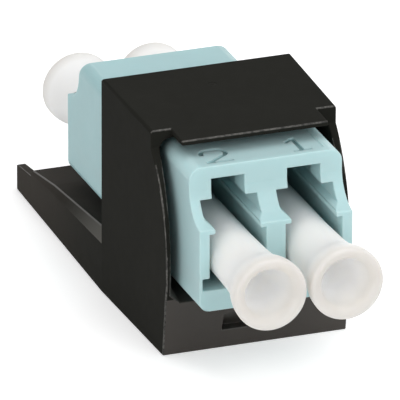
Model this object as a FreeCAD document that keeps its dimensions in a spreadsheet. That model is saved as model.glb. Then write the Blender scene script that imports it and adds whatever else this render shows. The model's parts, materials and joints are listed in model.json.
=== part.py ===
"""Snap-in module with an LC duplex fibre adapter and its dust caps.

X runs across the two ports, Y runs from the front ports to the rear ports, Z is up.
The origin is on the surface that the module stands on, at the middle of its length and width.
"""
import FreeCAD, Part
import math
import os
import Sketcher

Vector = FreeCAD.Vector
Rotation = FreeCAD.Rotation
Placement = FreeCAD.Placement

# Driving dimensions in millimetres. Heights are above the surface that the module stands on.
SIZES = {
    # places along the length
    "PortFaceFront": -16.4,
    "PortFaceRear": 14.25,
    "WeldPlane": -1.2,
    "HoodFront": -11.65,
    "PostFront": -9.1,
    "CheekFront": -12.46,
    "FootFront": -11.6,
    "KneeFront": -12.2,
    "BlockRear": 1.8,
    "DeckKnee": 15.1,
    "DeckRear": 20.1,
    "EarTip": 23.8,
    # the housing
    "FootHalf": 7.58,
    "BlockHalf": 7.88,
    "EarHalf": 7.3,
    "KneeLevel": 4.9,
    "CheekLow": 6.2,
    "CheekHigh": 8.2,
    "CheekRadius": 12.0,
    "PostLevel": 17.95,
    "BlockTop": 18.2,
    "HoodThick": 0.42,
    "HoodHalf": 6.03,
    "HoodDrop": 0.08,
    "DeckHigh": 4.98,
    "DeckKneeLevel": 3.8,
    "DeckLow": 3.1,
    "EarRoot": 2.6,
    "EarLevel": 2.15,
    "DeckKneeHalf": 7.545,
    "DeckEndHalf": 7.42,
    "BevelBlock": 0.78,
    "BevelKnee": 0.42,
    "BevelDeck": 0.24,
    "DeckThick": 1.0,
    "HollowHalf": 6.55,
    "HollowFront": -9.2,
    "MouthHalf": 7.26,
    "MouthFloor": 4.5,
    "MouthRoof": 17.6,
    "MouthCorner": 1.1,
    "MouthChamfer": 0.8,
    "ThroatHalf": 6.75,
    "ThroatFloor": 5.1,
    "ThroatRoof": 16.9,
    "ThroatDepth": -6.0,
    "SeatGap": 0.05,
    "NotchHalf": 2.75,
    "NotchLow": 1.6,
    "NotchHigh": 3.3,
    "NotchDeep": -10.8,
    "EdgeRound": 0.25,
    # the two adapter halves
    "AdapterHalf": 6.3,
    "AdapterBase": 5.4,
    "FrontHeight": 11.1,
    "RearHeight": 10.0,
    "CornerTop": 1.0,
    "CornerBase": 0.85,
    "PortPitch": 6.25,
    "AxisHeight": 4.0,
    "LipFront": 6.8,
    "LipRear": 6.45,
    "ScoopRise": 2.45,
    "ScoopFront": 2.35,
    "ScoopRear": 2.68,
    "ScoopRadius": 2.75,
    "NotchBaseHalf": 2.91,
    "NotchBaseLow": 1.75,
    "NotchBaseHigh": 2.75,
    "BayHalf": 2.33,
    "BayHigh": 6.42,
    "RibHalf": 1.85,
    "RibEdge": 6.8,
    "RibRoot": 7.2,
    "LugHighFront": 8.45,
    "LugHighRear": 8.1,
    "SlotHalf": 1.36,
    "SlotHighFront": 10.05,
    "SlotHighRear": 9.5,
    "CatchStart": 4.6,
    "CatchLength": 4.0,
    "CatchRise": 0.7,
    "CatchOverlap": 0.2,
    "WallHalf": 1.0,
    "BarrelReach": 4.5,
    "BarrelRadius": 1.35,
    "SleevePocket": 0.88,
    "LeadInRadius": 0.79,
    # the zirconia sleeves
    "SleeveLength": 6.8,
    "SleeveOuter": 0.84,
    "SleeveInner": 0.625,
    "SleeveSlit": 0.3,
    # the dust caps, measured along the cap from its lip
    "CapReachFront": 7.4,
    "CapReachRear": 6.9,
    "CapLength": 20.6,
    "CapLipRadius": 2.96,
    "CapLipWidest": 0.48,
    "CapFlareStart": 1.5,
    "CapFlareStartRadius": 2.84,
    "CapNeck": 3.2,
    "CapNeckRadius": 2.36,
    "CapShoulder": 7.6,
    "CapTubeRadius": 2.08,
    "CapMouthRadius": 2.0,
    "CapFunnelDepth": 3.6,
    "CapFunnelRadius": 1.55,
    "CapCupDepth": 5.6,
    "CapBoreRadius": 1.4,
    "CapBoreLength": 11.5,
    "CapBoreCone": 0.8,
}


class Size:
    """A length that knows its number and the sheet expression that gives it."""

    def __init__(self, value, text):
        self.value = value
        self.text = text

    def _join(self, other, sign, value):
        return Size(value, "(" + self.text + sign + as_size(other).text + ")")

    def __add__(self, other):
        return self._join(other, " + ", self.value + as_size(other).value)

    def __sub__(self, other):
        return self._join(other, " - ", self.value - as_size(other).value)

    def __mul__(self, other):
        return self._join(other, " * ", self.value * as_size(other).value)

    def __neg__(self):
        return self * -1


def as_size(number):
    if isinstance(number, Size):
        return number
    return Size(float(number), repr(float(number)))


doc = FreeCAD.newDocument("LcAdapterModule")
sheet = doc.addObject("Spreadsheet::Sheet", "Sizes")
size = {}
for row, (alias, number) in enumerate(SIZES.items(), start=1):
    sheet.set("A%d" % row, alias)
    sheet.set("B%d" % row, str(number))
    sheet.setAlias("B%d" % row, alias)
    size[alias] = Size(number, "Sizes." + alias)
doc.recompute()

ZERO = as_size(0.0)
# How far a cutting outline runs past the solid, and how far two stages of a cut overlap.
OVERRUN = as_size(1.0)
OVERLAP = as_size(0.5)


def new_body(name):
    body = doc.addObject("PartDesign::Body", name)
    body.Label = name
    return body


def plane_of(body, role):
    """One of the body's own origin planes, such as XY_Plane."""
    return [item for item in body.Origin.OriginFeatures if item.Role == role][0]


def new_sketch(body, name, role, offset=None):
    """A sketch on one of the body's own planes, moved along the plane's normal by offset."""
    sketch = body.newObject("Sketcher::SketchObject", name)
    sketch.AttachmentSupport = [(plane_of(body, role), "")]
    sketch.MapMode = "FlatFace"
    if offset is not None:
        sketch.AttachmentOffset = Placement(Vector(0, 0, offset.value), Rotation())
        sketch.setExpression("AttachmentOffset.Base.z", offset.text)
    return sketch


def bind(sketch, constraint, length):
    """Adds a dimension to the sketch and ties it to the sheet."""
    index = sketch.addConstraint(constraint)
    sketch.setExpression("Constraints[%d]" % index, length.text)


def arc_between(start, end, radius, side):
    """The shorter arc between two points, with its centre left (1) or right (-1) of the chord."""
    chord = end - start
    height = math.sqrt(max(radius ** 2 - (chord.Length / 2) ** 2, 0.0))
    across = Vector(-chord.y, chord.x, 0).normalize() * side
    centre = start + chord * 0.5 + across * height
    turn_start = math.atan2(start.y - centre.y, start.x - centre.x)
    turn_end = math.atan2(end.y - centre.y, end.x - centre.x)
    if side < 0:
        turn_start, turn_end = turn_end, turn_start
    circle = Part.Circle(centre, Vector(0, 0, 1), radius)
    return Part.ArcOfCircle(circle, turn_start, turn_end)


def outline(sketch, corners):
    """A closed outline through corners (across, up) or (across, up, radius, side).

    The last two items make the edge that leaves the corner an arc with that radius.
    """
    points = [Vector(corner[0].value, corner[1].value, 0) for corner in corners]
    first = sketch.GeometryCount
    ends = []
    for index, corner in enumerate(corners):
        start = points[index]
        end = points[(index + 1) % len(points)]
        if len(corner) == 2:
            sketch.addGeometry(Part.LineSegment(start, end), False)
            ends.append((1, 2))
        else:
            sketch.addGeometry(arc_between(start, end, corner[2].value, corner[3]), False)
            ends.append((1, 2) if corner[3] > 0 else (2, 1))
    for index, corner in enumerate(corners):
        here = first + index
        before = first + (index - 1) % len(corners)
        start, _ = ends[index]
        _, end_before = ends[(index - 1) % len(corners)]
        sketch.addConstraint(Sketcher.Constraint("Coincident", before, end_before, here, start))
        for kind, length in (("DistanceX", corner[0]), ("DistanceY", corner[1])):
            bind(sketch, Sketcher.Constraint(kind, -1, 1, here, start, length.value), length)
        if len(corner) == 4:
            bind(sketch, Sketcher.Constraint("Radius", here, corner[2].value), corner[2])


def circle(sketch, across, up, radius):
    """A circle with its centre and radius tied to the sheet."""
    index = sketch.addGeometry(
        Part.Circle(Vector(across.value, up.value, 0), Vector(0, 0, 1), radius.value), False)
    for kind, length in (("DistanceX", across), ("DistanceY", up)):
        bind(sketch, Sketcher.Constraint(kind, -1, 1, index, 3, length.value), length)
    bind(sketch, Sketcher.Constraint("Radius", index, radius.value), radius)


def feature(body, kind, sketch, length=None, symmetric=False, reverse=False, through=False):
    """A pad or pocket of the sketch, checked by how it changes the body's volume."""
    before = body.Shape.Volume if body.Tip and not body.Shape.isNull() else 0.0
    made = body.newObject("PartDesign::" + kind, sketch.Name + kind)
    made.Profile = sketch
    if symmetric:
        made.SideType = "Symmetric"
    if through:
        made.Type = "ThroughAll"
    elif length is not None:
        made.setExpression("Length", length.text)
    made.Reversed = reverse
    sketch.Visibility = False
    doc.recompute()
    change = body.Shape.Volume - before
    if (kind == "Pad" and change <= 0) or (kind == "Pocket" and change >= 0):
        raise ValueError("%s of %s changes the volume by %.3f" % (kind, sketch.Name, change))
    return made


def loft(body, name, sections, ruled=False):
    """Cuts away the space between sections, taken in order."""
    before = body.Shape.Volume
    made = body.newObject("PartDesign::SubtractiveLoft", name)
    made.Profile = sections[0]
    made.Sections = sections[1:]
    made.Ruled = ruled
    doc.recompute()
    if body.Shape.Volume >= before:
        raise ValueError("%s cuts nothing" % name)
    return made


def stacked(centre, base, steps):
    """An outline with the same steps (half width, height) right and left of its centre line."""
    right = [(centre + half, base + up) for half, up in steps]
    left = [(centre - half, base + up) for half, up in reversed(steps)]
    return right + left


def rounded_box(half, low, high, round_low, round_high):
    """A box outline about X = 0 with rounded lower and upper corners."""
    return [
        (half - round_low, low, round_low, 1),
        (half, low + round_low),
        (half, high - round_high, round_high, 1),
        (half - round_high, high),
        (round_high - half, high, round_high, 1),
        (-half, high - round_high),
        (-half, low + round_low, round_low, 1),
        (round_low - half, low),
    ]


def edges_near(shape, test):
    """Names of the edges whose middle and direction pass the test."""
    names = []
    for index, edge in enumerate(shape.Edges, start=1):
        middle = edge.valueAt((edge.FirstParameter + edge.LastParameter) / 2)
        along = (edge.Vertexes[-1].Point - edge.Vertexes[0].Point)
        if along.Length > 1e-6 and test(middle, along.normalize(), edge.Length):
            names.append("Edge%d" % index)
    return names


def dress(body, kind, names, length):
    """A fillet or chamfer of the named edges."""
    base = body.Tip
    made = body.newObject("PartDesign::" + kind, body.Name + kind + str(len(body.Group)))
    made.Base = (base, names)
    made.setExpression("Radius" if kind == "Fillet" else "Size", length.text)
    doc.recompute()
    return made


def build_housing():
    """The one-piece housing: block with a mouth at the front, a hood, and a sloping rear arm."""
    body = new_body("module_housing")
    wide = (size["BlockHalf"] + OVERLAP) * 2

    side = new_sketch(body, "SideOutline", "YZ_Plane")
    arc_drop = arc_level(size["CheekFront"], size["PostFront"], size["CheekRadius"])
    outline(side, [
        (size["FootFront"], ZERO),
        (size["EarTip"], ZERO),
        (size["EarTip"], size["EarLevel"]),
        (size["DeckRear"], size["EarRoot"]),
        (size["DeckRear"], size["DeckLow"]),
        (size["DeckKnee"], size["DeckKneeLevel"]),
        (size["BlockRear"], size["DeckHigh"]),
        (size["BlockRear"], size["BlockTop"]),
        (size["PostFront"], size["PostLevel"]),
        (size["PostFront"], size["CheekHigh"] + arc_drop, size["CheekRadius"], 1),
        (size["CheekFront"], size["CheekHigh"]),
        (size["CheekFront"], size["CheekLow"]),
        (size["KneeFront"], size["KneeLevel"]),
    ])
    feature(body, "Pad", side, wide, symmetric=True)

    taper = new_sketch(body, "SideTaper", "XY_Plane")
    beyond = size["BlockHalf"] + OVERRUN
    for sign in (1, -1):
        outline(taper, [
            (size["FootHalf"] * sign, size["CheekFront"] - OVERRUN),
            (beyond * sign, size["CheekFront"] - OVERRUN),
            (beyond * sign, size["EarTip"] + OVERRUN),
            (size["EarHalf"] * sign, size["EarTip"] + OVERRUN),
            (size["BlockHalf"] * sign, size["BlockRear"]),
        ])
    feature(body, "Pocket", taper, through=True, reverse=True)

    for sign, label in ((1, "Right"), (-1, "Left")):
        cuts = []
        for stop, place, half, level, width in (
                ("Block", size["BlockRear"], size["BlockHalf"], size["DeckHigh"], size["BevelBlock"]),
                ("Knee", size["DeckKnee"], size["DeckKneeHalf"], size["DeckKneeLevel"], size["BevelKnee"]),
                ("Deck", size["DeckRear"], size["DeckEndHalf"], size["DeckLow"], size["BevelDeck"])):
            cut = new_sketch(body, "Bevel" + stop + label, "XZ_Plane", -place)
            outline(cut, [
                ((half - width - OVERLAP) * sign, level + OVERLAP),
                ((half + OVERLAP) * sign, level - width - OVERLAP),
                ((half + OVERLAP) * sign, level + OVERLAP),
            ])
            cuts.append(cut)
        loft(body, "Bevel" + label, cuts, ruled=True)

    crest = edges_near(body.Shape, lambda middle, along, length: (
        middle.z > size["PostLevel"].value - 0.1 and middle.y > size["PostFront"].value + 0.5))
    dress(body, "Fillet", crest, size["EdgeRound"])

    rings = []
    for name, half, low, high, across in (
            ("MouthOutside", size["MouthHalf"], size["MouthFloor"], size["MouthRoof"],
             size["CheekFront"] - OVERLAP),
            ("MouthInside", size["ThroatHalf"], size["ThroatFloor"], size["ThroatRoof"],
             size["ThroatDepth"])):
        ring = new_sketch(body, name, "XZ_Plane", -across)
        corner = size["MouthCorner"]
        cut = size["MouthChamfer"]
        outline(ring, [
            (half - cut, low),
            (half, low + cut),
            (half, high - corner, corner, 1),
            (half - corner, high),
            (corner - half, high, corner, 1),
            (-half, high - corner),
            (-half, low + cut),
            (cut - half, low),
        ])
        rings.append(ring)
    loft(body, "Mouth", rings)

    hood = new_sketch(body, "Hood", "YZ_Plane")
    hood_top = size["PostLevel"] - size["HoodDrop"]
    outline(hood, [
        (size["PostFront"] + OVERRUN, size["PostLevel"]),
        (size["PostFront"], size["PostLevel"]),
        (size["HoodFront"], hood_top),
        (size["HoodFront"], hood_top - size["HoodThick"]),
        (size["PostFront"] + OVERRUN, size["PostLevel"] - size["HoodThick"]),
    ])
    feature(body, "Pad", hood, size["HoodHalf"] * 2, symmetric=True)

    half = size["AdapterHalf"] + size["SeatGap"]
    base = size["AdapterBase"]
    seat = new_sketch(body, "Seat", "XZ_Plane", -(size["ThroatDepth"] - OVERLAP))
    outline(seat, rounded_box(half, base, base + size["FrontHeight"] + size["SeatGap"],
                              size["CornerBase"], size["CornerTop"]))
    feature(body, "Pocket", seat, size["WeldPlane"] - size["ThroatDepth"] + OVERLAP)
    window = new_sketch(body, "RearWindow", "XZ_Plane", -(size["WeldPlane"] - OVERLAP))
    outline(window, rounded_box(half, base, base + size["RearHeight"] + size["SeatGap"],
                                size["CornerBase"], size["CornerTop"]))
    feature(body, "Pocket", window, size["BlockRear"] - size["WeldPlane"] + OVERRUN)

    hollow = new_sketch(body, "Hollow", "YZ_Plane")
    outline(hollow, [
        (size["HollowFront"], ZERO - OVERRUN),
        (size["EarTip"] + OVERRUN, ZERO - OVERRUN),
        (size["EarTip"] + OVERRUN, size["DeckHigh"]),
        (size["DeckRear"], size["DeckHigh"]),
        (size["DeckRear"], size["DeckLow"] - size["DeckThick"]),
        (size["BlockRear"], size["DeckHigh"] - size["DeckThick"]),
        (size["HollowFront"], size["MouthFloor"] - size["DeckThick"]),
    ])
    feature(body, "Pocket", hollow, size["HollowHalf"] * 2, symmetric=True)

    notch = new_sketch(body, "ReleaseNotch", "YZ_Plane")
    outline(notch, [
        (size["CheekFront"], size["NotchLow"]),
        (size["NotchDeep"], size["NotchLow"]),
        (size["KneeFront"], size["NotchHigh"]),
        (size["CheekFront"], size["NotchHigh"]),
    ])
    feature(body, "Pocket", notch, size["NotchHalf"] * 2, symmetric=True)
    return body


def arc_level(front, back, radius):
    """How far above its lowest point an arc that starts upright has moved from front to back."""
    inset = back.value - front.value
    return math.sqrt(radius.value ** 2 - (radius.value - inset) ** 2)


def build_adapter_half(name, face, inward, height, lip, scoop_depth, lug_high, slot_high):
    """One moulded half with two ports. inward is 1 where the half runs from its face to +Y."""
    body = new_body(name)
    base = size["AdapterBase"]
    weld = size["WeldPlane"]
    depth = (weld - face) * inward

    section = new_sketch(body, name + "_section", "XZ_Plane", -face)
    outline(section, rounded_box(size["AdapterHalf"], base, base + height,
                                 size["CornerBase"], size["CornerTop"]))
    feature(body, "Pad", section, depth, reverse=inward > 0)

    scoop = new_sketch(body, name + "_scoop", "YZ_Plane")
    outside = face - as_size(inward)
    step = face + scoop_depth * inward
    outline(scoop, [
        (outside, base + lip),
        (face, base + lip, size["ScoopRadius"], inward),
        (step, base + lip + size["ScoopRise"]),
        (step, base + height + OVERRUN),
        (outside, base + height + OVERRUN),
    ])
    feature(body, "Pocket", scoop, (size["AdapterHalf"] + OVERLAP) * 2, symmetric=True)

    port_depth = depth - size["WallHalf"]
    for side, label in ((-0.5, "Left"), (0.5, "Right")):
        centre = size["PortPitch"] * side
        port = new_sketch(body, name + "_port" + label, "XZ_Plane", -face)
        outline(port, stacked(centre, base, [
            (size["NotchBaseHalf"], size["NotchBaseLow"]),
            (size["NotchBaseHalf"], size["NotchBaseHigh"]),
            (size["BayHalf"], size["NotchBaseHigh"]),
            (size["BayHalf"], size["BayHigh"]),
            (size["RibHalf"], size["BayHigh"]),
            (size["RibHalf"], size["RibEdge"]),
            (size["BayHalf"], size["RibRoot"]),
            (size["BayHalf"], lug_high),
            (size["SlotHalf"], lug_high),
            (size["SlotHalf"], slot_high),
        ]))
        feature(body, "Pocket", port, port_depth, reverse=inward < 0)

        catch = new_sketch(body, name + "_catch" + label, "XZ_Plane",
                           -(face + size["CatchStart"] * inward))
        outline(catch, stacked(centre, base, [
            (size["BayHalf"], lug_high - size["CatchOverlap"]),
            (size["BayHalf"], lug_high + size["CatchRise"]),
        ]))
        feature(body, "Pocket", catch, size["CatchLength"], reverse=inward < 0)

        barrel = new_sketch(body, name + "_barrel" + label, "XZ_Plane", -weld)
        circle(barrel, centre, base + size["AxisHeight"], size["BarrelRadius"])
        feature(body, "Pad", barrel, size["BarrelReach"], reverse=inward < 0)
        pocket = new_sketch(body, name + "_sleeve" + label, "XZ_Plane", -weld)
        circle(pocket, centre, base + size["AxisHeight"], size["SleevePocket"])
        feature(body, "Pocket", pocket, size["SleeveLength"] * 0.5 + size["SeatGap"],
                reverse=inward > 0)
        lead = new_sketch(body, name + "_lead" + label, "XZ_Plane", -weld)
        circle(lead, centre, base + size["AxisHeight"], size["LeadInRadius"])
        feature(body, "Pocket", lead, size["BarrelReach"] + OVERLAP, reverse=inward > 0)
    return body


def build_sleeve(name, side):
    """A zirconia ring with one slit along it, standing on the axis of its port."""
    outer = doc.addObject("Part::Cylinder", name + "_outer")
    outer.setExpression("Radius", size["SleeveOuter"].text)
    inner = doc.addObject("Part::Cylinder", name + "_inner")
    inner.setExpression("Radius", size["SleeveInner"].text)
    slit = doc.addObject("Part::Box", name + "_slit")
    slit.setExpression("Width", size["SleeveSlit"].text)
    slit.setExpression("Length", size["SleeveOuter"].text + " * 1.5")
    slit.setExpression("Placement.Base.y", "-" + size["SleeveSlit"].text + " / 2")
    for item in (outer, inner, slit):
        item.setExpression("Height", size["SleeveLength"].text)
    ring = doc.addObject("Part::Cut", name + "_ring")
    ring.Base = outer
    ring.Tool = inner
    sleeve = doc.addObject("Part::Cut", name)
    sleeve.Base = ring
    sleeve.Tool = slit
    sleeve.Label = name
    sleeve.Placement = Placement(Vector(), Rotation(Vector(1, 0, 0), -90))
    sleeve.setExpression("Placement.Base.x", (size["PortPitch"] * side).text)
    sleeve.setExpression("Placement.Base.y",
                         (size["WeldPlane"] - size["SleeveLength"] * 0.5).text)
    sleeve.setExpression("Placement.Base.z", (size["AdapterBase"] + size["AxisHeight"]).text)
    return sleeve


def build_cap(name, side, face, outward, reach):
    """A dust cap turned about its own axis: trumpet lip, blind cup, and a tube for the barrel.

    The section is drawn with the lip end at 0 and the tube towards +Y.
    """
    body = new_body(name)
    section = new_sketch(body, name + "_section", "XY_Plane")
    tip = size["CapLength"]
    widest = size["CapLipWidest"]
    roll = (size["CapLipRadius"] - size["CapMouthRadius"]) * 0.5
    crown = size["CapMouthRadius"] + roll
    outline(section, [
        (ZERO, size["CapCupDepth"]),
        (size["CapFunnelRadius"], size["CapFunnelDepth"]),
        (size["CapMouthRadius"], widest),
        (crown, widest - roll),
        (size["CapLipRadius"], widest),
        (size["CapFlareStartRadius"], size["CapFlareStart"]),
        (size["CapNeckRadius"], size["CapNeck"]),
        (size["CapTubeRadius"], size["CapShoulder"]),
        (size["CapTubeRadius"], tip),
        (size["CapBoreRadius"], tip),
        (size["CapBoreRadius"], tip - size["CapBoreLength"]),
        (ZERO, tip - size["CapBoreLength"] - size["CapBoreCone"]),
    ])
    turned = body.newObject("PartDesign::Revolution", name + "_turned")
    turned.Profile = section
    turned.ReferenceAxis = (section, ["V_Axis"])
    turned.Angle = 360
    section.Visibility = False
    body.Placement = Placement(Vector(), Rotation(Vector(0, 0, 1), 0 if outward < 0 else 180))
    body.setExpression("Placement.Base.x", (size["PortPitch"] * side).text)
    body.setExpression("Placement.Base.y", (face + reach * outward).text)
    body.setExpression("Placement.Base.z", (size["AdapterBase"] + size["AxisHeight"]).text)
    doc.recompute()
    return body


pieces = [
    build_housing(),
    build_adapter_half("adapter_front_half", size["PortFaceFront"], 1, size["FrontHeight"],
                       size["LipFront"], size["ScoopFront"], size["LugHighFront"],
                       size["SlotHighFront"]),
    build_adapter_half("adapter_rear_half", size["PortFaceRear"], -1, size["RearHeight"],
                       size["LipRear"], size["ScoopRear"], size["LugHighRear"],
                       size["SlotHighRear"]),
]
for side, label in ((-0.5, "left"), (0.5, "right")):
    pieces.append(build_sleeve("split_sleeve_" + label, side))
    pieces.append(build_cap("dust_cap_front_" + label, side, size["PortFaceFront"], -1,
                            size["CapReachFront"]))
    pieces.append(build_cap("dust_cap_rear_" + label, side, size["PortFaceRear"], 1,
                            size["CapReachRear"]))
doc.recompute()

for item in doc.Objects:
    if "Invalid" in item.State or "Error" in item.State:
        raise ValueError("%s did not build: %s" % (item.Label, item.State))
for piece in pieces:
    if piece.Shape.isNull() or not piece.Shape.isValid() or len(piece.Shape.Solids) != 1:
        raise ValueError("%s is not one valid solid" % piece.Label)

os.makedirs("parts", exist_ok=True)
for piece in pieces:
    piece.Shape.exportStep(os.path.join("parts", piece.Label + ".step"))
    box = piece.Shape.optimalBoundingBox()
    print("%-22s volume %9.2f  X %7.2f %7.2f  Y %7.2f %7.2f  Z %6.2f %6.2f" % (
        piece.Label, piece.Shape.Volume, box.XMin, box.XMax, box.YMin, box.YMax,
        box.ZMin, box.ZMax))
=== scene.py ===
"""Snap-in module with a duplex LC fibre adapter, dressed for rendering on its construction frame.

The frame carries the solids at their real size. This file rounds their moulded edges, turns the dust
caps as smooth surfaces, cuts the port numbers and gives every surface its plastic or ceramic finish,
with painted light and shade on some of them.
"""

import json
import math

import bmesh
import bpy
import numpy as np
from mathutils import Matrix, Vector

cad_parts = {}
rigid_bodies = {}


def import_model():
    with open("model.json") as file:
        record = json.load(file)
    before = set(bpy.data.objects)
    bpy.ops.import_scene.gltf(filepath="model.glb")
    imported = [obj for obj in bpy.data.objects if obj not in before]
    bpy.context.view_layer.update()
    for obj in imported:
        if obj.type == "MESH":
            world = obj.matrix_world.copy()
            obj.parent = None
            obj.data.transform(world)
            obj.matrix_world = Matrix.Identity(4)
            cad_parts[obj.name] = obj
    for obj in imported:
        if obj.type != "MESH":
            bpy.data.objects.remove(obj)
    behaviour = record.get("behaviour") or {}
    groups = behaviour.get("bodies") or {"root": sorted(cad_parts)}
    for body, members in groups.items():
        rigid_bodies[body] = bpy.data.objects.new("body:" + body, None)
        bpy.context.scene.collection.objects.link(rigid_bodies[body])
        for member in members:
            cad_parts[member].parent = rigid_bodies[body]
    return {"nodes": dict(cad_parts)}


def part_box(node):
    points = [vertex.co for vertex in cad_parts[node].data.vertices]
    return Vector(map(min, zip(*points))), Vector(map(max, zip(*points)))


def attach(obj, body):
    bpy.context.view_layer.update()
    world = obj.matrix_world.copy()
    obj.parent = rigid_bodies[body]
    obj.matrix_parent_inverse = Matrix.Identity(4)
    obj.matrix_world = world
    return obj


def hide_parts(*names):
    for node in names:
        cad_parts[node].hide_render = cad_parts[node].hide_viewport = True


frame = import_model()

bl_info = {
    "name": "LC duplex adapter module",
    "version": (1, 0, 0),
    "blender": (4, 5, 0),
    "location": "View3D > Sidebar > Fibre parts",
    "description": "Dresses a snap-in fibre adapter module: housing, adapter halves, sleeves and dust caps",
    "category": "Object",
}

MM = 0.001
WELD = 0.002 * MM
FLAT_TURN = math.radians(0.6)
EDGE_TURN = math.radians(35)
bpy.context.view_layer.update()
CAP_NODES = ["dust_cap_front_left", "dust_cap_front_right", "dust_cap_rear_left", "dust_cap_rear_right"]
ADAPTER_NODES = ["adapter_front_half", "adapter_rear_half"]
SLEEVE_NODES = ["split_sleeve_left", "split_sleeve_right"]

# Where the housing's finishes meet: how far the crest reaches down, how far below it a cheek's edge
# starts, how far back the painted highlight on the front's edges reaches, the box that holds the notch in
# the front wall, and how far behind the wall's face the notch's back has to be.
CREST_DEPTH = 0.5 * MM
CHEEK_GAP = 2 * MM
GLINT_BACK = -8.4 * MM
NOTCH_HALF = 7 * MM
NOTCH_LEVELS = (0.3 * MM, 5 * MM)
NOTCH_DEPTH = 4 * MM
NOTCH_SKIN = 0.5 * MM

# Which of the housing's materials a face takes.
BLACK, GLINT, FRONT, BEVEL, NOTCH = range(5)

# How far a face's normal lies along an axis, at least, when the face looks that way.
BARELY = 0.2
PARTLY = 0.25
MOSTLY = 0.6
NEARLY = 0.8
WHOLLY = 0.9

# The stage: the floor's half width in metres, the white it adds where it is seen and the white that it
# reflects; and the camera's sensor in millimetres, with the nearest and furthest metres that it sees.
FLOOR_REACH = 1.5
FLOOR_LIFT = 0.42
PAPER = 0.9
SENSOR_WIDTH = 36
NEAREST = 0.05
FURTHEST = 5


# ---- sizes and colours that a user would change ----

def length(label, text, millimetres):
    """A length property, given here in millimetres and held in metres."""
    return bpy.props.FloatProperty(name=label, description=text, default=millimetres * MM, unit="LENGTH",
                                   precision=5)


def colour(label, text, value):
    """A linear colour property."""
    return bpy.props.FloatVectorProperty(name=label, description=text, default=value, size=3, min=0, max=1,
                                         subtype="COLOR")


def share(label, text, value):
    """A number from 0 to 1."""
    return bpy.props.FloatProperty(name=label, description=text, default=value, min=0, max=1,
                                   subtype="FACTOR")


def power(label, text, value):
    """A superellipse's power: 1 is a straight slope, 2 is an ellipse and more is squarer."""
    return bpy.props.FloatProperty(name=label, description=text, default=value, min=0.5, max=6)


def light(label, text, value):
    """A lamp's strength in watts, or the room's as a share of white."""
    return bpy.props.FloatProperty(name=label, description=text, default=value, min=0)


class HousingSettings(bpy.types.PropertyGroup):
    """Edges, finish and painted light of the black module housing."""
    edge: length("Edge radius", "Rounding of the housing's moulded edges", 0.11)
    tint: colour("Colour", "Black of the housing", (0.0142, 0.0142, 0.0118))
    roughness: share("Roughness", "How dull the textured faces are", 0.75)
    gloss: share("Gloss", "How much the textured faces mirror", 0.03)
    front_roughness: share("Front roughness", "How dull the smooth front wall is", 0.45)
    # Painted highlight: the front's rounded edges take a lighter black, broken into specks, in place of the
    # glints of light on them.
    glint_tint: colour("Edge colour", "Black of the rubbed edges", (0.06, 0.058, 0.053))
    # Painted highlight: the arm's bevels take a grey that is strongest by the block and fades along the arm,
    # in place of the light they reflect.
    bevel_highlight_tint: colour("Bevel colour", "Grey of the arm's bevels where they are rubbed", (0.112, 0.108, 0.098))
    highlight_length: length("Rubbed length", "How far the rubbing reaches along the arm's bevels", 11.0)
    # The wall below the ports is really glossier; its lighter black is painted reflection of the floor before
    # it.
    front_sheen_tint: colour("Front colour", "Black of the wall below the ports", (0.0215, 0.0163, 0.0118))
    # Painted light: a lighter black stands in for the floor's reflection in the notch and for the highlight
    # along the arm's ridges.
    notch_sheen_tint: colour("Notch colour", "Black of the notch in the front wall", (0.036, 0.0325, 0.028))
    # Painted highlight: the arm's end takes a lighter black that fades towards the block, in place of the
    # light its faces reflect.
    ear_highlight_tint: colour("Ear colour", "Black of the arm's end, a little faded", (0.045, 0.04, 0.0345))
    edge_roughness: share("Edge roughness", "How dull the rubbed edges are", 0.4)
    edge_gloss: share("Edge gloss", "How much the rubbed edges mirror", 0.2)
    gate_radius: length("Gate radius", "Radius of the moulding gate's mark on the top", 0.4)
    gate_back: length("Gate place", "From the adapter's front to the gate's mark", 14.4)


class AdapterSettings(bpy.types.PropertyGroup):
    """Edges, port numbers, finish and painted shade of the aqua adapter."""
    edge: length("Edge radius", "Rounding of the adapter's moulded edges", 0.085)
    tint: colour("Colour", "Aqua of the front half", (0.452, 0.64, 0.655))
    # Painted shade: the rear half takes a darker aqua, in place of the lesser light on its sides.
    rear_shade_tint: colour("Rear colour", "Aqua of the rear half, moulded a little darker", (0.35, 0.55, 0.57))
    roughness: share("Roughness", "How dull the adapter is", 0.34)
    gloss: share("Gloss", "How much the adapter mirrors", 0.14)
    glow: share("Light through", "How much light spreads inside the aqua plastic", 0.4)
    # Painted shade: the bottoms of the numbers take a darker aqua in place of the shade inside the grooves.
    number_shade_tint: colour("Number colour", "Aqua at the bottom of the numbers", (0.2, 0.33, 0.34))
    number_height: length("Number height", "Height of the port numbers", 2.5)
    number_back: length("Number place", "From the adapter's front to the middle of the numbers", 4.4)
    stroke: length("Stroke", "Width of a port number's stroke", 0.4)
    engraving: length("Engraving", "Depth of the port numbers", 0.24)
    panel_half: length("Panel half width", "Half the width of the sunk panel round the numbers", 5.05)
    panel_back: length("Panel place", "From the adapter's front to the panel's front edge", 3.15)
    panel_length: length("Panel length", "Length of the sunk panel", 8.5)
    panel_depth: length("Panel depth", "Depth of the sunk panel", 0.06)


class SleeveSettings(bpy.types.PropertyGroup):
    """Finish of the ceramic sleeves."""
    tint: colour("Colour", "Off-white of the ceramic", (0.84, 0.82, 0.76))
    roughness: share("Roughness", "How dull the ceramic is", 0.2)


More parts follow.
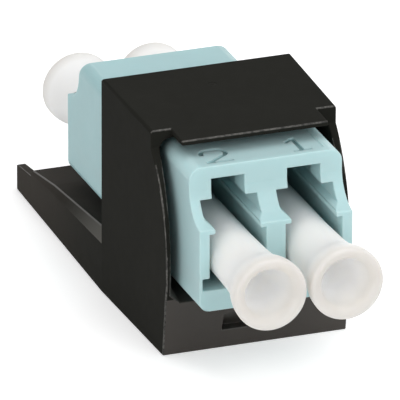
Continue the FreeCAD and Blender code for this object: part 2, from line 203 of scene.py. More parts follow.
class CapSettings(bpy.types.PropertyGroup):
    """Form, finish and painted light and shade of the dust caps."""
    lip: length("Lip radius", "Radius of the flared lip at its widest", 2.96)
    mouth: length("Mouth radius", "Radius of the hollow behind the lip", 1.93)
    mouth_depth: length("Mouth depth", "How far the lip slopes in before the hollow", 0.85)
    crest: length("Crest radius", "Radius of the lip's foremost ring", 2.64)
    roll: length("Lip roll", "How far the lip's crest stands before its widest point", 0.4)
    tube: length("Tube radius", "Radius of the plain tube", 2.08)
    bore: length("Bore radius", "Radius of the bore that takes the barrel", 1.4)
    tint: colour("Colour", "White of the caps", (0.9, 0.885, 0.86))
    # Painted shade: the lip's front face, which gets less light from above, takes this greyer white.
    lip_shade_tint: colour("Lip colour", "White of the thin lip, which lets more light through", (0.6, 0.575, 0.545))
    # Painted light: the funnel's inside takes a brighter white than the body, in place of the light that
    # reaches in.
    hollow_light_tint: colour("Hollow colour", "White of the hollow, lit through its wall", (0.99, 0.98, 0.97))
    hollow_depth: length("Hollow depth", "How deep the funnel in the end is", 5.3)
    inner_power: power("Inner power", "Power of the lip's superellipse inside its crest", 1.9)
    outer_power: power("Outer power", "Power of the lip's superellipse outside its crest", 2.8)
    # How far the lip's painted shade reaches back along the cap.
    lip_shade_length: length("Thin length", "How far the thin lip's colour reaches along the cap", 1.5)
    roughness: share("Roughness", "How dull the caps are", 0.46)
    glow: share("Light through", "How much light spreads inside the soft plastic", 1.0)


class StageSettings(bpy.types.PropertyGroup):
    """Camera and light."""
    azimuth: bpy.props.FloatProperty(name="Azimuth", description="Camera's angle to the left of the front",
                                     default=math.radians(20.0), subtype="ANGLE")
    elevation: bpy.props.FloatProperty(name="Elevation", description="Camera's angle above the floor",
                                       default=math.radians(22.95), subtype="ANGLE")
    distance: length("Distance", "From the module to the camera", 900.0)
    lens: bpy.props.FloatProperty(name="Lens", description="Focal length in millimetres on a 36 mm sensor",
                                  default=1046.5)
    aim_left: length("Aim to the left", "From the adapter's front corner to the view's middle", 5.898)
    aim_up: length("Aim up", "From the adapter's base to the view's middle", 7.902)
    box_size: length("Soft box size", "Side of each soft box", 300.0)
    box_distance: length("Soft box distance", "From the module to each soft box", 500.0)
    front: light("Front light", "Strength of the soft box before the ports", 0.75)
    high: light("High light", "Strength of the soft box above the front", 0.45)
    top: light("Top light", "Strength of the overhead soft box", 0.7)
    left: light("Left light", "Strength of the soft box to the left", 0.72)
    rear: light("Rear light", "Strength of the low soft box behind", 0.2)
    air: light("Room light", "Strength of the even light all round", 0.38)


class ModuleSettings(bpy.types.PropertyGroup):
    """Everything about the module."""
    housing: bpy.props.PointerProperty(type=HousingSettings, name="Housing")
    adapter: bpy.props.PointerProperty(type=AdapterSettings, name="Adapter")
    sleeve: bpy.props.PointerProperty(type=SleeveSettings, name="Sleeves")
    cap: bpy.props.PointerProperty(type=CapSettings, name="Dust caps")
    stage: bpy.props.PointerProperty(type=StageSettings, name="Stage")


# ---- surfaces ----

def arc_fillet(path, radii, steps=8):
    """A line of points with each inner corner swapped for a circular arc.

    Formula: each arc starts and ends where a circle of its radius touches the two legs, at
    radius x tan(half the turn) from the corner, and its points go round the circle's centre by equal
    parts of the turn. A corner with no turn keeps its point.
    """
    path = np.asarray(path, float)
    radii = np.asarray(radii, float)
    before = path[:-2] - path[1:-1]
    after = path[2:] - path[1:-1]
    before /= np.linalg.norm(before, axis=1)[:, None]
    after /= np.linalg.norm(after, axis=1)[:, None]
    turn = np.pi - np.arccos(np.clip((before * after).sum(1), -1, 1))
    reach = radii * np.tan(turn / 2)
    start = path[1:-1] + before * reach[:, None]
    inward = before + after
    inward /= np.maximum(np.linalg.norm(inward, axis=1), 1e-12)[:, None]
    centre = path[1:-1] + inward * (radii / np.maximum(np.cos(turn / 2), 1e-9))[:, None]
    spin = np.sign(before[:, 0] * after[:, 1] - before[:, 1] * after[:, 0])
    angle = -spin[:, None] * turn[:, None] * np.linspace(0, 1, steps + 1)[None, :]
    spoke = start - centre
    cos, sin = np.cos(angle), np.sin(angle)
    arcs = np.stack([spoke[:, :1] * cos - spoke[:, 1:] * sin, spoke[:, :1] * sin + spoke[:, 1:] * cos], -1)
    arcs = (arcs + centre[:, None, :]).reshape(-1, 2)
    return np.concatenate([path[:1], arcs, path[-1:]])


def smooth_through(stations, count):
    """A smooth curve through stations of (along, radius), as count points.

    Formula: between two stations the radius is the cubic that meets both, with the slope at each
    station taken as the mean slope of its two neighbours weighted by their distances.
    """
    along, radius = np.asarray(stations, float).T
    rise = np.diff(radius) / np.diff(along)
    gap = np.diff(along)
    slope = np.concatenate([rise[:1], (rise[:-1] * gap[1:] + rise[1:] * gap[:-1]) / (gap[1:] + gap[:-1]),
                            rise[-1:]])
    place = np.linspace(along[0], along[-1], count)
    k = np.clip(np.searchsorted(along, place, side="right") - 1, 0, len(gap) - 1)
    t = (place - along[k]) / gap[k]
    value = ((2 * t**3 - 3 * t**2 + 1) * radius[k] + (t**3 - 2 * t**2 + t) * gap[k] * slope[k]
             + (3 * t**2 - 2 * t**3) * radius[k + 1] + (t**3 - t**2) * gap[k] * slope[k + 1])
    return np.stack([place, value], -1)


def turned(profile, centre, start, heading, around=96):
    """A closed surface turned about a line along Y, as (vertices, faces).

    Formula: the point of the profile at (along, radius) goes to centre + radius x (cos, sin) of the
    angle in X and Z, and to start + heading x along in Y. The first and last points lie on the axis
    and are one vertex each, with a fan of triangles.
    """
    angle = np.linspace(0, 2 * np.pi, around, endpoint=False)
    inner = profile[1:-1]
    x = centre[0] + inner[:, 1:] * np.cos(angle)
    z = centre[1] + inner[:, 1:] * np.sin(angle)
    y = np.repeat(start + heading * inner[:, :1], around, axis=1)
    body = np.stack([x, y, z], -1).reshape(-1, 3)
    poles = np.array([[centre[0], start + heading * profile[0, 0], centre[1]],
                      [centre[0], start + heading * profile[-1, 0], centre[1]]])
    ring = np.arange(around)
    step = np.roll(ring, -1)
    base = (np.arange(len(inner) - 1) * around)[:, None]
    quads = np.stack([base + ring, base + step, base + around + step, base + around + ring], -1)
    quads = quads.reshape(-1, 4)
    first, last = len(body), len(body) + 1
    top = (len(inner) - 1) * around
    near = np.stack([np.full(around, first), step, ring], -1)
    far = np.stack([np.full(around, last), top + ring, top + step], -1)
    faces = quads.tolist() + near.tolist() + far.tolist()
    return np.concatenate([body, poles]), faces


def stroke_block(path, width, low, high):
    """A stroke of even width along a flat path, as a closed block between two levels.

    Formula: each point is moved sideways by half the width along its mitre, the mean of its two
    legs' normals lengthened by 1 / cos of half the turn; the two sides at two levels make four rows.
    """
    path = np.asarray(path, float)
    leg = np.diff(path, axis=0)
    leg /= np.linalg.norm(leg, axis=1)[:, None]
    normal = np.stack([-leg[:, 1], leg[:, 0]], -1)
    before = np.concatenate([normal[:1], normal])
    after = np.concatenate([normal, normal[-1:]])
    mitre = before + after
    mitre /= (mitre * before).sum(1)[:, None]
    left = path + mitre * width / 2
    right = path - mitre * width / 2
    count = len(path)
    rows = [np.column_stack([side, np.full(count, level)]) for level in (low, high)
            for side in (left, right)]
    verts = np.concatenate(rows)
    here = np.arange(count - 1)
    there = here + 1
    quads = [np.stack([a * count + here, a * count + there, b * count + there, b * count + here], -1)
             for a, b in ((0, 1), (2, 0), (1, 3), (3, 2))]
    end = count - 1
    caps = [[0, count, 3 * count, 2 * count],
            [end, 2 * count + end, 3 * count + end, count + end]]
    return verts, np.concatenate(quads).tolist() + caps


def new_piece(name, verts, faces, smooth=True):
    """A linked object from arrays of vertices and faces, its normals turned outwards."""
    mesh = bpy.data.meshes.new(name)
    mesh.from_pydata(np.asarray(verts).tolist(), [], faces)
    work = bmesh.new()
    work.from_mesh(mesh)
    bmesh.ops.recalc_face_normals(work, faces=work.faces)
    work.to_mesh(mesh)
    work.free()
    mesh.polygons.foreach_set("use_smooth", np.full(len(mesh.polygons), smooth))
    piece = bpy.data.objects.new(name, mesh)
    bpy.context.scene.collection.objects.link(piece)
    return piece


def merged_copy(node, name, split=False):
    """A copy of a node's loose triangles, welded, with each flat region joined into whole faces.

    Split cuts the faces of more than four corners into triangles again: a deeply notched one folds over
    itself when its edges are rounded.
    """
    work = bmesh.new()
    work.from_mesh(frame["nodes"][node].data)
    bmesh.ops.remove_doubles(work, verts=work.verts, dist=WELD)
    bmesh.ops.dissolve_limit(work, angle_limit=FLAT_TURN, verts=work.verts, edges=work.edges)
    if split:
        bmesh.ops.triangulate(work, faces=[face for face in work.faces if len(face.verts) > 4])
    bmesh.ops.recalc_face_normals(work, faces=work.faces)
    mesh = bpy.data.meshes.new(name)
    work.to_mesh(mesh)
    work.free()
    piece = bpy.data.objects.new(name, mesh)
    bpy.context.scene.collection.objects.link(piece)
    return piece


def faces_of(piece):
    """The normals and the middles of a piece's faces, as two arrays."""
    faces = piece.data.polygons
    facing = np.zeros(len(faces) * 3)
    middle = np.zeros(len(faces) * 3)
    faces.foreach_get("normal", facing)
    faces.foreach_get("center", middle)
    return facing.reshape(-1, 3), middle.reshape(-1, 3)


def points_of(mesh):
    """The places of a mesh's vertices, as one array."""
    points = np.zeros(len(mesh.vertices) * 3)
    mesh.vertices.foreach_get("co", points)
    return points.reshape(-1, 3)


def store(piece, name, values):
    """Keeps one number for each vertex of a piece, for its material to read."""
    layer = piece.data.attributes.new(name, "FLOAT", "POINT")
    layer.data.foreach_set("value", values.astype(np.float32))


def settle(piece):
    """Applies a piece's modifiers, so that its mesh is what shows."""
    graph = bpy.context.evaluated_depsgraph_get()
    done = bpy.data.meshes.new_from_object(piece.evaluated_get(graph), preserve_all_data_layers=True,
                                           depsgraph=graph)
    piece.modifiers.clear()
    old = piece.data
    piece.data = done
    done.name = piece.name
    bpy.data.meshes.remove(old)


def cut_away(piece, cutters):
    """Cuts closed pieces out of a piece and removes them."""
    for cutter in cutters:
        cut = piece.modifiers.new("cut", "BOOLEAN")
        cut.operation = "DIFFERENCE"
        cut.solver = "EXACT"
        cut.object = cutter
    settle(piece)
    for cutter in cutters:
        mesh = cutter.data
        bpy.data.objects.remove(cutter)
        bpy.data.meshes.remove(mesh)


def round_edges(piece, radius):
    """Rounds every moulded edge of a welded piece and keeps its flats flat."""
    bevel = piece.modifiers.new("round", "BEVEL")
    bevel.width = radius
    bevel.segments = 3
    bevel.limit_method = "ANGLE"
    bevel.angle_limit = EDGE_TURN
    bevel.harden_normals = True
    bevel.use_clamp_overlap = False
    settle(piece)


# ---- finishes ----

def add_node(tree, kind, place, **values):
    """A node at a place on the sheet, with its named settings or inputs set."""
    node = tree.nodes.new(kind)
    node.location = place
    for key, value in values.items():
        if hasattr(node, key):
            setattr(node, key, value)
        else:
            node.inputs[key.replace("_", " ")].default_value = value
    return node


def plastic(name, tint, roughness, grain, grain_depth, mottle, sheen_spread, patch=0.16, **sockets):
    """A moulded plastic: its colour drifts a little, and fine grain and soft flow marks break its gloss.

    The pattern is read in millimetres on Object coordinates.
    """
    material = bpy.data.materials.new(name)
    material.use_nodes = True
    tree = material.node_tree
    tree.nodes.clear()
    link = tree.links.new
    out = add_node(tree, "ShaderNodeOutputMaterial", (900, 0))
    shader = add_node(tree, "ShaderNodeBsdfPrincipled", (600, 0))
    for key, value in sockets.items():
        shader.inputs[key.replace("_", " ")].default_value = value
    link(shader.outputs[0], out.inputs[0])
    where = add_node(tree, "ShaderNodeTexCoord", (-1100, 0))
    in_mm = add_node(tree, "ShaderNodeMapping", (-900, 0), Scale=(1000, 1000, 1000))
    link(where.outputs["Object"], in_mm.inputs["Vector"])

    drift = add_node(tree, "ShaderNodeTexNoise", (-650, 250), Scale=patch, Detail=3.0, Roughness=0.55)
    link(in_mm.outputs[0], drift.inputs["Vector"])
    ramp = add_node(tree, "ShaderNodeValToRGB", (-400, 250))
    low = [channel * (1 - mottle) for channel in tint]
    high = [channel * (1 + mottle) for channel in tint]
    ramp.color_ramp.elements[0].position = 0.3
    ramp.color_ramp.elements[0].color = (*low, 1)
    ramp.color_ramp.elements[1].position = 0.7
    ramp.color_ramp.elements[1].color = (*high, 1)
    link(drift.outputs[0], ramp.inputs[0])
    link(ramp.outputs[0], shader.inputs["Base Color"])

    flow = add_node(tree, "ShaderNodeTexNoise", (-650, -50), Scale=0.9, Detail=4.0, Roughness=0.6,
                    Distortion=0.6)
    link(in_mm.outputs[0], flow.inputs["Vector"])
    gloss = add_node(tree, "ShaderNodeMapRange", (-400, -50))
    gloss.inputs["From Min"].default_value = 0.3
    gloss.inputs["From Max"].default_value = 0.7
    gloss.inputs["To Min"].default_value = roughness - sheen_spread
    gloss.inputs["To Max"].default_value = roughness + sheen_spread
    link(flow.outputs[0], gloss.inputs["Value"])
    link(gloss.outputs[0], shader.inputs["Roughness"])

    fine = add_node(tree, "ShaderNodeTexNoise", (-650, -350), Scale=grain, Detail=2.0, Roughness=0.5)
    link(in_mm.outputs[0], fine.inputs["Vector"])
    wave = add_node(tree, "ShaderNodeTexNoise", (-650, -600), Scale=0.35, Detail=1.0)
    link(in_mm.outputs[0], wave.inputs["Vector"])
    both = add_node(tree, "ShaderNodeMath", (-400, -450), operation="MULTIPLY_ADD")
    link(wave.outputs[0], both.inputs[0])
    both.inputs[1].default_value = 1.5
    link(fine.outputs[0], both.inputs[2])
    bump = add_node(tree, "ShaderNodeBump", (-150, -450), Strength=1.0, Distance=grain_depth * MM)
    link(both.outputs[0], bump.inputs["Height"])
    link(bump.outputs[0], shader.inputs["Normal"])
    return material


def mix_in(material, tint, factor):
    """Mixes a second colour into a plastic's own, by what factor(tree, point) gives.

    The point is the tree's socket of Object coordinates.
    """
    tree = material.node_tree
    shader = next(node for node in tree.nodes if node.type == "BSDF_PRINCIPLED")
    where = next(node for node in tree.nodes if node.type == "TEX_COORD")
    own = shader.inputs["Base Color"].links[0].from_socket
    mix = add_node(tree, "ShaderNodeMix", (200, 300), data_type="RGBA")
    mix.inputs["B"].default_value = (*tint, 1)
    tree.links.new(own, mix.inputs["A"])
    tree.links.new(factor(tree, where.outputs["Object"]), mix.inputs["Factor"])
    tree.links.new(mix.outputs["Result"], shader.inputs["Base Color"])


def stored(name):
    """Reads the number that each vertex keeps under a name."""
    def read(tree, point):
        node = add_node(tree, "ShaderNodeAttribute", (-200, 600), attribute_name=name)
        return node.outputs["Fac"]
    return read


def fade_along(start, end):
    """Falls from 1 at start to 0 at end along Y."""
    def read(tree, point):
        split = add_node(tree, "ShaderNodeSeparateXYZ", (-400, 600))
        fade = add_node(tree, "ShaderNodeMapRange", (-200, 600), interpolation_type="SMOOTHSTEP")
        forwards = 1.0 if start < end else 0.0
        fade.inputs["From Min"].default_value = min(start, end)
        fade.inputs["From Max"].default_value = max(start, end)
        fade.inputs["To Min"].default_value = forwards
        fade.inputs["To Max"].default_value = 1.0 - forwards
        tree.links.new(point, split.inputs[0])
        tree.links.new(split.outputs["Y"], fade.inputs["Value"])
        return fade.outputs[0]
    return read


def looked_at(tree):
    """1 for rays that the camera, a gloss or a clear piece sends out, and 0 for the light's own bounces."""
    path = add_node(tree, "ShaderNodeLightPath", (-400, 400))
    glossy = add_node(tree, "ShaderNodeMath", (-200, 400), operation="MAXIMUM")
    either = add_node(tree, "ShaderNodeMath", (0, 400), operation="MAXIMUM")
    tree.links.new(path.outputs["Is Glossy Ray"], glossy.inputs[0])
    tree.links.new(path.outputs["Is Transmission Ray"], glossy.inputs[1])
    tree.links.new(path.outputs["Is Camera Ray"], either.inputs[0])
    tree.links.new(glossy.outputs[0], either.inputs[1])
    return either.outputs[0]


def dress(target, *materials):
    """Gives a piece or a CAD node these materials, the first one over all its faces."""
    target.data.materials.clear()
    for material in materials:
        target.data.materials.append(material)


# ---- operators ----

def arm_reach():
    """Where the arm begins, at the back of the block's upper half, and where it ends."""
    points = points_of(frame["nodes"]["module_housing"].data)
    upper = points[:, 2] > points[:, 2].max() / 2
    return float(points[upper, 1].max()), float(points[:, 1].max())


class MODULE_OT_housing(bpy.types.Operator):
    """Rounds the housing's edges and gives it its black moulded finish, with painted light on its edges, arm,
    notch and front wall.
    """
    bl_idname = "lc_module.housing"
    bl_label = "Module housing"

    def execute(self, context):
        settings = context.scene.lc_module.housing
        black = plastic("housing_black", settings.tint, settings.roughness, grain=9.0, grain_depth=0.004,
                        mottle=0.05, sheen_spread=0.03, Specular_IOR_Level=settings.gloss)
        # Painted highlight on the front's rounded edges: a lighter black speckled by noise, with real gloss on
        # top.
        glinting = plastic("housing_edge", settings.glint_tint, settings.edge_roughness, grain=3.0,
                         grain_depth=0.012, mottle=1.0, sheen_spread=0.12, patch=3.5,
                         Specular_IOR_Level=settings.edge_gloss)
        # Front wall: its lower roughness is real, its lighter black is painted reflection.
        smooth = plastic("housing_front", settings.front_sheen_tint, settings.front_roughness, grain=6.0,
                         grain_depth=0.003, mottle=0.05, sheen_spread=0.05)
        # Painted light on the notch and the ridges: a lighter black in place of reflection and highlight.
        notch_ridge_sheen = plastic("housing_notch", settings.notch_sheen_tint, settings.front_roughness, grain=6.0,
                        grain_depth=0.003, mottle=0.05, sheen_spread=0.05)
        # Painted highlight on the arm's bevels: grey by the block, fading along the arm.
        bevel_sheen = plastic("housing_bevel", settings.tint, settings.roughness, grain=9.0, grain_depth=0.004,
                       mottle=0.2, sheen_spread=0.03, patch=1.1, Specular_IOR_Level=settings.gloss)
        arm_start, arm_end = arm_reach()
        # The arm's end gets a painted highlight, on the black faces and on the bevels alike.
        highlight_end = fade_along(arm_end, arm_start)
        mix_in(black, settings.ear_highlight_tint, highlight_end)
        mix_in(bevel_sheen, settings.ear_highlight_tint, highlight_end)
        mix_in(bevel_sheen, settings.bevel_highlight_tint, fade_along(arm_start, arm_start + settings.highlight_length))
        piece = merged_copy("module_housing", "housing_shell")
        dress(piece, black, glinting, smooth, bevel_sheen, notch_ridge_sheen)
        dress(frame["nodes"]["module_housing"], black)
        round_edges(piece, settings.edge)
        self.mark_gate(piece, settings)
        self.share_out(piece)
        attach(piece, "adapter_module")
        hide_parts("module_housing")
        return {"FINISHED"}

    def share_out(self, piece):
        """Gives the painted highlight to the front's rounded edges and to the arm's bevels, the glossier
        finish with a painted reflection to the front wall below the adapter, and a lighter black of painted
        light to its notch and the ridges.
        """
        facing, middle = faces_of(piece)
        adapter_low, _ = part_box("adapter_front_half")
        low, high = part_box("module_housing")
        crest = high[2] - CREST_DEPTH
        sideways = np.abs(facing[:, 0]) > PARTLY
        upwards = facing[:, 2] > PARTLY
        slanted = (np.abs(facing) > PARTLY).sum(axis=1) > 1

        at_side = sideways & (middle[:, 2] < crest - CHEEK_GAP)
        at_top = upwards & (middle[:, 2] > crest)
        front_edge = slanted & (at_side | at_top) & (facing[:, 1] < -BARELY) & (middle[:, 1] < GLINT_BACK)

        arm_edge = slanted & upwards & sideways & (middle[:, 2] < high[2] / 3)
        ridge = arm_edge & (facing[:, 2] > NEARLY)

        front_wall = (facing[:, 1] < -MOSTLY) & (middle[:, 2] < adapter_low[2])
        notch = (np.abs(middle[:, 0]) < NOTCH_HALF) & (middle[:, 1] < low[1] + NOTCH_DEPTH)
        notch &= (middle[:, 2] > NOTCH_LEVELS[0]) & (middle[:, 2] < NOTCH_LEVELS[1])
        notch &= (facing[:, 1] > -MOSTLY) | (middle[:, 1] > low[1] + NOTCH_SKIN)

        # Slots: the front's rounded edges take a painted highlight, the notch and the ridges a lighter black
        # of painted light, the arm's bevels a painted highlight, and the front wall its glossier finish with a
        # painted reflection.
        slot = np.select([front_edge, ridge | notch, arm_edge, front_wall],
                         [GLINT, NOTCH, BEVEL, FRONT], BLACK).astype(np.int32)
        piece.data.polygons.foreach_set("material_index", slot)

    def mark_gate(self, piece, settings):
        """Sinks a small ring into the top, with the gate's stub in its middle."""
        front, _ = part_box("adapter_front_half")
        _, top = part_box("module_housing")
        outer = settings.gate_radius
        deep = 0.25 * outer
        ring = np.array([(-0.2 * deep, 0), (-0.2 * deep, 0.3 * outer), (-deep, 0.45 * outer),
                         (-deep, 0.85 * outer), (deep, outer), (deep, 0)])
        verts, faces = turned(ring, (0, front[1] + settings.gate_back), top[2], 1, around=32)
        cut_away(piece, [new_piece("gate_ring", verts[:, [0, 2, 1]], faces)])


# Each number is a list of strokes, drawn one unit high about its middle, as (across, along, bend).
NUMBER_ONE = [[(-0.28, 0.22, 0), (0.05, 0.5, 0)],
              [(0.05, 0.55, 0), (0.05, -0.5, 0)],
              [(-0.26, -0.5, 0), (0.36, -0.5, 0)]]
NUMBER_TWO = [[(-0.39, 0.12, 0), (-0.39, 0.5, 0.3), (0.39, 0.5, 0.3), (0.39, 0.06, 0.22), (-0.39, -0.5, 0)],
              [(-0.46, -0.5, 0), (0.44, -0.5, 0)]]
PORT_NUMBERS = [(-3.44 * MM, NUMBER_TWO), (3.2 * MM, NUMBER_ONE)]


class MODULE_OT_adapter(bpy.types.Operator):
    """Rounds the adapter's edges, cuts the port numbers and gives it its aqua moulded finish, with painted
    shade on the rear half and in the numbers.
    """
    bl_idname = "lc_module.adapter"
    bl_label = "Adapter halves"

    def execute(self, context):
        settings = context.scene.lc_module.adapter
        # Painted shade for the bottoms of the numbers.
        deep = plastic("number_shade_aqua", settings.number_shade_tint, settings.roughness, grain=7.0,
                       grain_depth=0.0025, mottle=0.1, sheen_spread=0.04)
        # The rear half's darker aqua is painted shade.
        for node, tint in zip(ADAPTER_NODES, (settings.tint, settings.rear_shade_tint)):
            aqua = plastic(node.replace("_half", "_aqua"), tint, settings.roughness, grain=7.0,
                           grain_depth=0.0025, mottle=0.025, sheen_spread=0.04,
                           Specular_IOR_Level=settings.gloss, Subsurface_Weight=settings.glow,
                           Subsurface_Radius=(0.7, 1.0, 1.0), Subsurface_Scale=0.0012)
            piece = merged_copy(node, node.replace("_half", "_shell"), split=True)
            round_edges(piece, settings.edge)
            dress(piece, aqua, deep)
            dress(frame["nodes"][node], aqua)
            if node == "adapter_front_half":
                self.engrave(piece, settings)
            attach(piece, "adapter_module")
            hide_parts(node)
        return {"FINISHED"}

    def engrave(self, piece, settings):
        """Sinks a shallow panel into the top and cuts a number in it before each port; the numbers' bottoms
        take the painted shade.
        """
        low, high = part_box("adapter_front_half")
        above = high[2] + settings.engraving
        middle = low[1] + settings.panel_back + settings.panel_length / 2
        panel = [(-settings.panel_half, middle), (settings.panel_half, middle)]
        blocks = [stroke_block(panel, settings.panel_length, high[2] - settings.panel_depth, above)]
        for across, number in PORT_NUMBERS:
            place = np.array([across, low[1] + settings.number_back])
            for stroke in number:
                form = np.array(stroke) * settings.number_height
                path = form[:, :2] + place
                if len(path) > 2:
                    path = arc_fillet(path, form[1:-1, 2])
                blocks.append(stroke_block(path, settings.stroke, high[2] - settings.engraving, above))
        cut_away(piece, [new_piece("cutter_%d" % index, verts, faces, smooth=False)
                         for index, (verts, faces) in enumerate(blocks)])
        # The numbers' bottoms take the second material, a darker aqua of painted shade.
        facing, middle = faces_of(piece)
        bottom = np.abs(middle[:, 2] - (high[2] - settings.engraving)) < settings.engraving / 12
        slot = np.where(bottom & (facing[:, 2] > WHOLLY), 1, 0).astype(np.int32)
        piece.data.polygons.foreach_set("material_index", slot)


class MODULE_OT_sleeves(bpy.types.Operator):
    """Gives the split sleeves their ceramic finish."""
    bl_idname = "lc_module.sleeves"
    bl_label = "Split sleeves"

    def execute(self, context):
        settings = context.scene.lc_module.sleeve
        ceramic = plastic("sleeve_ceramic", settings.tint, settings.roughness, grain=16.0,
                          grain_depth=0.0008, mottle=0.02, sheen_spread=0.03)
        for node in SLEEVE_NODES:
            dress(frame["nodes"][node], ceramic)
        return {"FINISHED"}


class MODULE_OT_caps(bpy.types.Operator):
    """Turns the four dust caps, with a rolled lip, a funnel in the end and a bore for the barrel."""
    bl_idname = "lc_module.caps"
    bl_label = "Dust caps"

    def execute(self, context):
        settings = context.scene.lc_module.cap
        white = plastic("cap_white", settings.tint, settings.roughness, grain=5.0, grain_depth=0.002,
                        mottle=0.012, sheen_spread=0.05, Subsurface_Weight=settings.glow,
                        Subsurface_Radius=(1.0, 0.95, 0.88), Subsurface_Scale=0.0025)
        # Painted shade on the lip's front face and painted light inside the hollow.
        mix_in(white, settings.lip_shade_tint, stored("shaded"))
        mix_in(white, settings.hollow_light_tint, stored("hollow"))
        for node in CAP_NODES:
            low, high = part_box(node)
            front = "front" in node
            start = low[1] if front else high[1]
            total = high[1] - low[1]
            centre = ((low[0] + high[0]) / 2, (low[2] + high[2]) / 2)
            heading = 1 if front else -1
            verts, faces = turned(self.profile(settings, total), centre, start, heading)
            piece = new_piece(node.replace("dust_cap", "cap"), verts, faces)
            self.mark_painted_light(piece, settings, centre, (verts[:, 1] - start) * heading)
            dress(piece, white)
            dress(frame["nodes"][node], white)
            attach(piece, node)
            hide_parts(node)
        return {"FINISHED"}

    def mark_painted_light(self, piece, settings, centre, along):
        """Stores the painted shade on the lip's front face and where the hollow is, for the hollow's painted
        light.

        Formula: shaded is one less the distance from the lip over the lip shade length, and fades out from the
        mouth's radius to 0.93 of it; hollow rises from 0 at the mouth's radius to 1 at nine tenths of it,
        as far as the funnel goes.
        """
        points = points_of(piece.data)
        radius = np.hypot(points[:, 0] - centre[0], points[:, 2] - centre[1]) / settings.mouth
        shaded = np.clip(1 - along / settings.lip_shade_length, 0, 1)
        store(piece, "shaded", shaded * np.clip((radius - 0.93) / 0.07, 0, 1))
        store(piece, "hollow", (along < settings.hollow_depth) * np.clip((1 - radius) / 0.1, 0, 1))

    def profile(self, settings, total):
        """The cap's half section from the axis in the hollow, round the lip, to the axis in the bore.

        Formula: a rounded funnel; two quarters of superellipses for the lip, which meet at its crest,
        with the inner power inside and the outer power outside; one smooth curve through the trumpet's
        stations; and straight lines with small arcs for the tube's end and bore.
        """
        deep = settings.hollow_depth
        funnel = arc_fillet([(deep, 0), (deep, 0.5 * MM), (3.6 * MM, 1.5 * MM),
                             (settings.mouth_depth, settings.mouth)], [0.35 * MM, 0.9 * MM])
        turn = np.linspace(0, np.pi / 2, 13)
        inner = 2 / settings.inner_power
        outer = 2 / settings.outer_power
        inside = np.stack([settings.mouth_depth * (1 - np.sin(turn) ** inner),
                           settings.crest - (settings.crest - settings.mouth) * np.cos(turn) ** inner], -1)
        outside = np.stack([settings.roll * (1 - np.cos(turn) ** outer),
                            settings.crest + (settings.lip - settings.crest) * np.sin(turn) ** outer], -1)
        lip = np.concatenate([inside[1:], outside[1:-1]])
        flare = smooth_through(np.array([
            (settings.roll / MM, settings.lip / MM), (0.95, 2.93), (1.6, 2.81), (2.2, 2.63), (2.85, 2.45),
            (3.6, 2.32), (4.6, 2.22), (6.5, 2.14), (8.9, settings.tube / MM)]) * MM, 60)
        bore_bottom = total - 11.4 * MM
        cone_tip = total - 12.2 * MM
        end = arc_fillet([(9.2 * MM, settings.tube), (total, settings.tube), (total, settings.bore),
                          (bore_bottom, settings.bore), (cone_tip, 0)], [0.33 * MM, 0.12 * MM, 0.3 * MM])
        return np.concatenate([funnel, lip, flare, end])


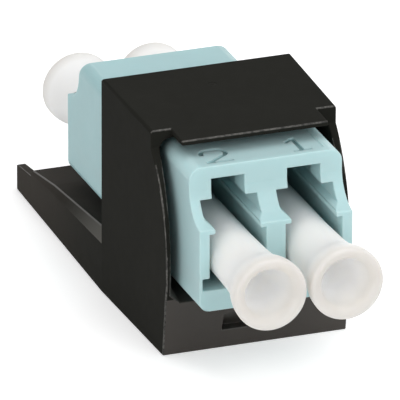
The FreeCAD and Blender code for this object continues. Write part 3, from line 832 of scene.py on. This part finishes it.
class MODULE_OT_stage(bpy.types.Operator):
    """Makes the floor, the soft light and the camera."""
    bl_idname = "lc_module.stage"
    bl_label = "Stage"

    def execute(self, context):
        settings = context.scene.lc_module.stage
        self.floor()
        self.room(settings)
        self.lamps(settings)
        self.camera(context, settings)
        context.scene.view_settings.view_transform = "Standard"
        return {"FINISHED"}

    def floor(self):
        """A wide pale floor that looks white to the camera and takes the module's shadow."""
        reach = FLOOR_REACH
        piece = new_piece("floor", [(-reach, -reach, 0), (reach, -reach, 0), (reach, reach, 0),
                                    (-reach, reach, 0)], [[0, 1, 2, 3]], smooth=False)
        material = bpy.data.materials.new("floor_pale")
        material.use_nodes = True
        tree = material.node_tree
        tree.nodes.clear()
        out = add_node(tree, "ShaderNodeOutputMaterial", (600, 0))
        paper = add_node(tree, "ShaderNodeBsdfDiffuse", (0, -150), Color=(PAPER, PAPER, PAPER, 1))
        white = add_node(tree, "ShaderNodeEmission", (0, 100), Color=(1, 1, 1, 1), Strength=FLOOR_LIFT)
        both = add_node(tree, "ShaderNodeAddShader", (200, 0))
        seen = add_node(tree, "ShaderNodeMixShader", (400, 0))
        tree.links.new(white.outputs[0], both.inputs[0])
        tree.links.new(paper.outputs[0], both.inputs[1])
        tree.links.new(looked_at(tree), seen.inputs[0])
        tree.links.new(paper.outputs[0], seen.inputs[1])
        tree.links.new(both.outputs[0], seen.inputs[2])
        tree.links.new(seen.outputs[0], out.inputs[0])
        dress(piece, material)

    def room(self, settings):
        """Even light from all round, and white where the camera sees past the floor."""
        world = bpy.data.worlds.new("room")
        world.use_nodes = True
        tree = world.node_tree
        tree.nodes.clear()
        out = add_node(tree, "ShaderNodeOutputWorld", (600, 0))
        air = add_node(tree, "ShaderNodeBackground", (0, 0), Color=(1, 1, 1, 1), Strength=settings.air)
        white = add_node(tree, "ShaderNodeBackground", (0, -200), Color=(1, 1, 1, 1), Strength=1.0)
        seen = add_node(tree, "ShaderNodeMixShader", (400, 0))
        tree.links.new(looked_at(tree), seen.inputs[0])
        tree.links.new(air.outputs[0], seen.inputs[1])
        tree.links.new(white.outputs[0], seen.inputs[2])
        tree.links.new(seen.outputs[0], out.inputs[0])
        bpy.context.scene.world = world

    def lamps(self, settings):
        """Soft boxes half a metre off, each named by where it hangs."""
        for name, heading, strength in (
                ("front_box", (0.31, -0.81, 0.5), settings.front),
                ("high_box", (0.3, -0.4, 0.87), settings.high),
                ("top_box", (0, 0.1, 1), settings.top),
                ("left_box", (-0.75, -0.62, 0.25), settings.left),
                ("rear_box", (0.45, 0.87, 0.2), settings.rear)):
            lamp = bpy.data.lights.new(name, "AREA")
            lamp.shape = "SQUARE"
            lamp.size = settings.box_size
            lamp.energy = strength
            holder = bpy.data.objects.new(name, lamp)
            bpy.context.scene.collection.objects.link(holder)
            aim = Vector(heading).normalized()
            place = Vector((0, 0, 0.009)) + aim * settings.box_distance
            holder.matrix_world = Matrix.Translation(place) @ aim.to_track_quat("Z", "Y").to_matrix().to_4x4()

    def camera(self, context, settings):
        """The camera looks along the stated angles at the adapter's front, off centre by two small shifts."""
        a, e = settings.azimuth, settings.elevation
        back = Vector((-math.sin(a) * math.cos(e), -math.cos(a) * math.cos(e), math.sin(e)))
        right = Vector((math.cos(a), -math.sin(a), 0))
        up = Vector((math.sin(e) * math.sin(a), math.sin(e) * math.cos(a), math.cos(e)))
        low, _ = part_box("adapter_front_half")
        target = Vector((0, low[1], low[2]))
        lens = bpy.data.cameras.new("camera")
        lens.lens = settings.lens
        lens.sensor_width = SENSOR_WIDTH
        lens.clip_start = NEAREST
        lens.clip_end = FURTHEST
        camera = bpy.data.objects.new("camera", lens)
        context.scene.collection.objects.link(camera)
        turn = Matrix((right, up, back)).transposed().to_4x4()
        place = target + back * settings.distance - right * settings.aim_left + up * settings.aim_up
        camera.matrix_world = Matrix.Translation(place) @ turn
        context.scene.camera = camera


OPERATORS = [MODULE_OT_housing, MODULE_OT_adapter, MODULE_OT_sleeves, MODULE_OT_caps, MODULE_OT_stage]


class MODULE_PT_panel(bpy.types.Panel):
    """Lists the module's operators and sizes."""
    bl_idname = "MODULE_PT_panel"
    bl_label = "LC adapter module"
    bl_space_type = "VIEW_3D"
    bl_region_type = "UI"
    bl_category = "Fibre parts"

    def draw(self, context):
        settings = context.scene.lc_module
        for operator in OPERATORS:
            self.layout.operator(operator.bl_idname)
        for name in ("housing", "adapter", "sleeve", "cap", "stage"):
            box = self.layout.box()
            box.label(text=name.capitalize())
            group = getattr(settings, name)
            for key in group.__annotations__:
                box.prop(group, key)


CLASSES = [HousingSettings, AdapterSettings, SleeveSettings, CapSettings, StageSettings, ModuleSettings,
           *OPERATORS, MODULE_PT_panel]


def register():
    """Registers the classes and puts the settings on the scene."""
    for item in CLASSES:
        bpy.utils.register_class(item)
    bpy.types.Scene.lc_module = bpy.props.PointerProperty(type=ModuleSettings)


def unregister():
    """Takes the settings and the classes away."""
    del bpy.types.Scene.lc_module
    for item in reversed(CLASSES):
        bpy.utils.unregister_class(item)


def main():
    """Builds every piece in order."""
    register()
    for item in list(bpy.data.objects):
        if item.name in ("Cube", "Light", "Camera"):
            bpy.data.objects.remove(item)
    bpy.ops.lc_module.housing()
    bpy.ops.lc_module.adapter()
    bpy.ops.lc_module.sleeves()
    bpy.ops.lc_module.caps()
    bpy.ops.lc_module.stage()


if __name__ == "__main__":
    main()
